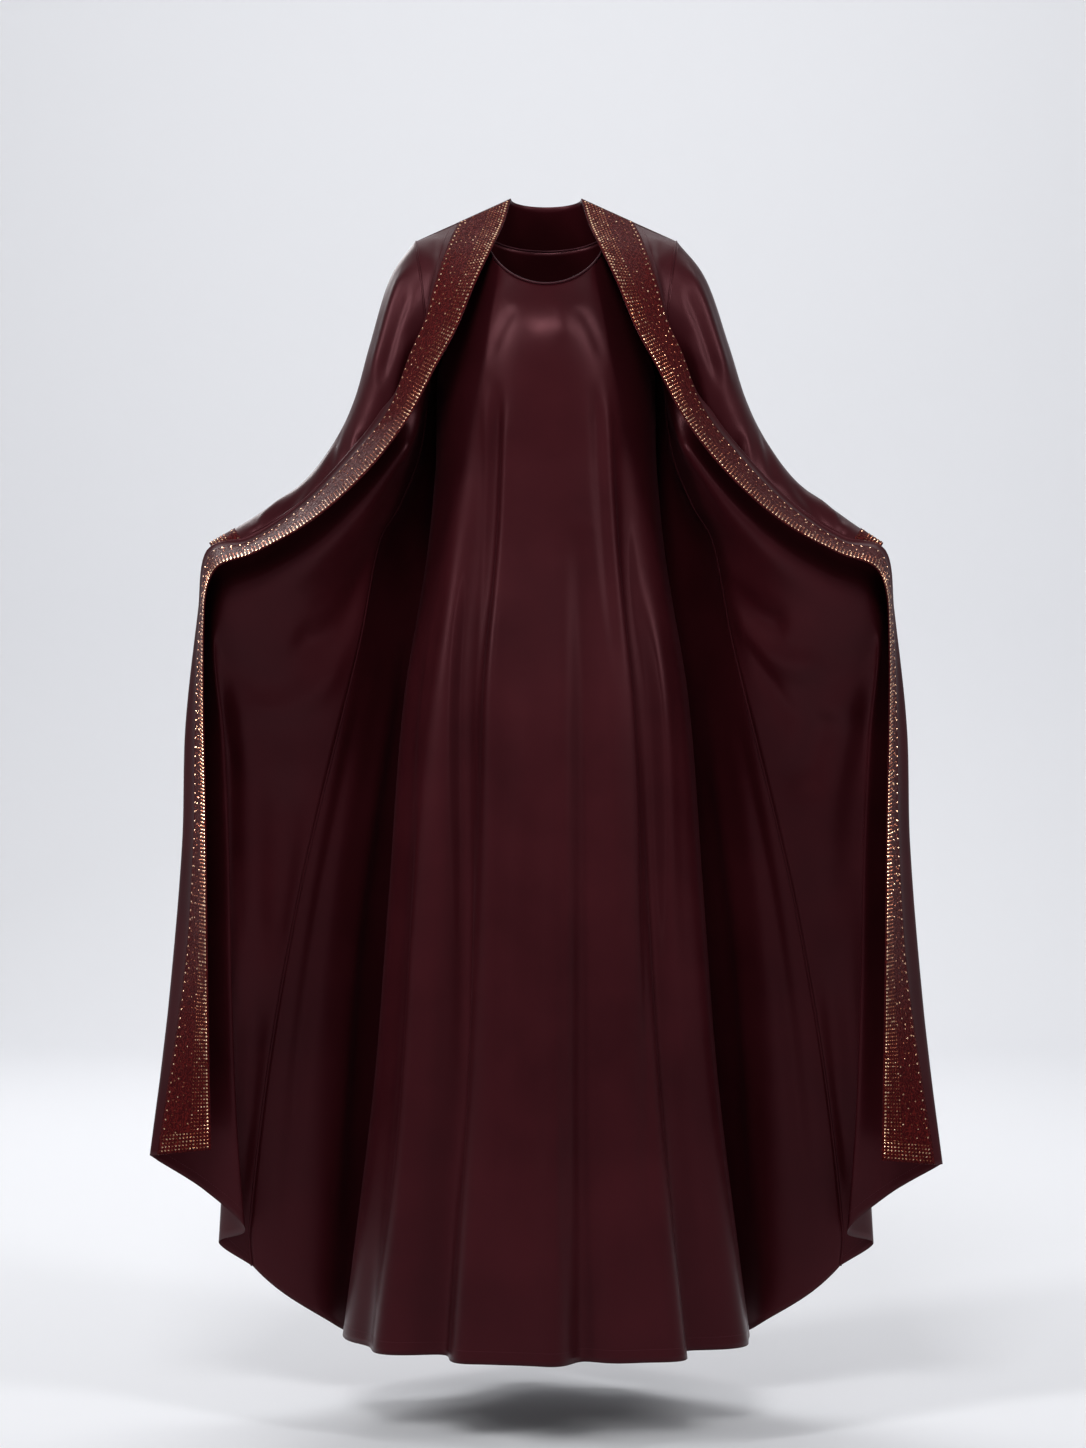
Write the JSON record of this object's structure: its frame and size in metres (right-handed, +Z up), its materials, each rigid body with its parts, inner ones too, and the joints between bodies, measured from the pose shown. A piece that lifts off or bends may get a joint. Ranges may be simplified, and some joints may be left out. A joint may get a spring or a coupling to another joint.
{
  "type": "open abaya with matching inner dress",
  "caption": "Floor-length satin abaya with studded front bands and cuffs, worn open over its matching round-neck inner dress, with both front edges held out to the sides.",
  "frame": {"origin": "where the shoulders carry the neck of the garment, in the middle of the neck opening", "axes": "+Z up along the body, front of the garment towards -Y, the picture's right at +X"},
  "size_m": [0.9812, 0.4649, 1.4855],
  "materials": {
    "satin": "burgundy polyester satin with a soft sheen",
    "band_cloth": "red-brown band cloth with fine metallic threadwork",
    "binding": "dark satin binding",
    "studs": "polished rose-gold to copper studs",
    "thread": "matching sewing thread"
  },
  "bodies": {
    "root": {"dress_front": "satin", "dress_back": "satin", "dress_neck_binding": "binding", "abaya_back": "satin", "abaya_front_left": "satin", "abaya_front_right": "satin", "sleeve_left": "satin", "sleeve_right": "satin", "front_band_left": "band_cloth", "front_band_right": "band_cloth", "neck_band": "band_cloth", "cuff_band_left": "band_cloth", "cuff_band_right": "band_cloth"}
  },
  "joints": []
}
